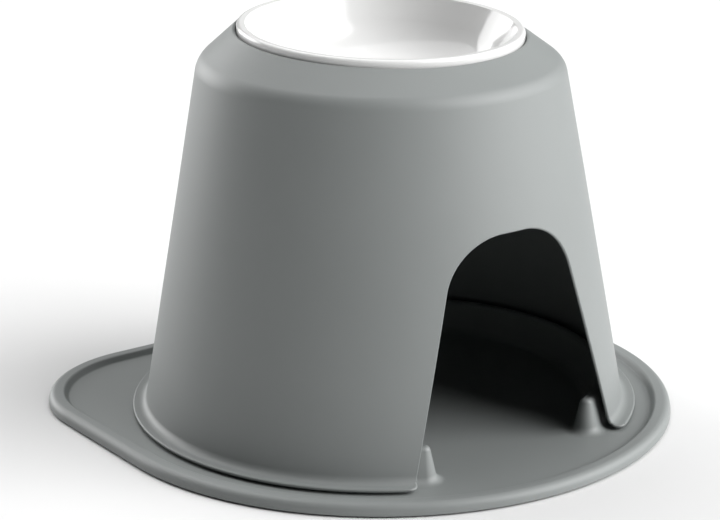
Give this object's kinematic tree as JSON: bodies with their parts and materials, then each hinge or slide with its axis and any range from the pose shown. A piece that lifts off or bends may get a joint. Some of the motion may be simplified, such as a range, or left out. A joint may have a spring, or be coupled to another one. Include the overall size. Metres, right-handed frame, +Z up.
{
  "type": "raised pet feeder",
  "caption": "Raised feeder: a hollow cone stand with an arched doorway on a lipped tray, with a shallow tilted dish on top.",
  "frame": {"origin": "on the ground, under the middle of the tray's outline", "axes": "+Z up, -Y towards the doorway and the tray's rounded front, +X to the right of someone facing +Y"},
  "size_m": [0.456, 0.4429, 0.3141],
  "materials": {
    "grey_plastic": "fine matt moulded polypropylene",
    "white_gloss": "glossy white, smooth",
    "silicone": "soft translucent white silicone",
    "foot_rubber": "dark grey rubber"
  },
  "bodies": {
    "tray": {"tray": "grey_plastic", "foot_1": "foot_rubber", "foot_2": "foot_rubber", "foot_3": "foot_rubber", "foot_4": "foot_rubber", "foot_5": "foot_rubber", "foot_6": "foot_rubber"},
    "stand": {"stand": "grey_plastic"},
    "dish": {"dish": "white_gloss", "dish_ring": "silicone"}
  },
  "joints": [
    {"name": "stand_lift", "type": "slide", "parent": "tray", "child": "stand", "axis": [0, 0, 1], "range_m": [0, 0.34]},
    {"name": "dish_lift", "type": "slide", "parent": "stand", "child": "dish", "axis": [0, -0.0628, 0.998], "range_m": [0, 0.12]}
  ]
}
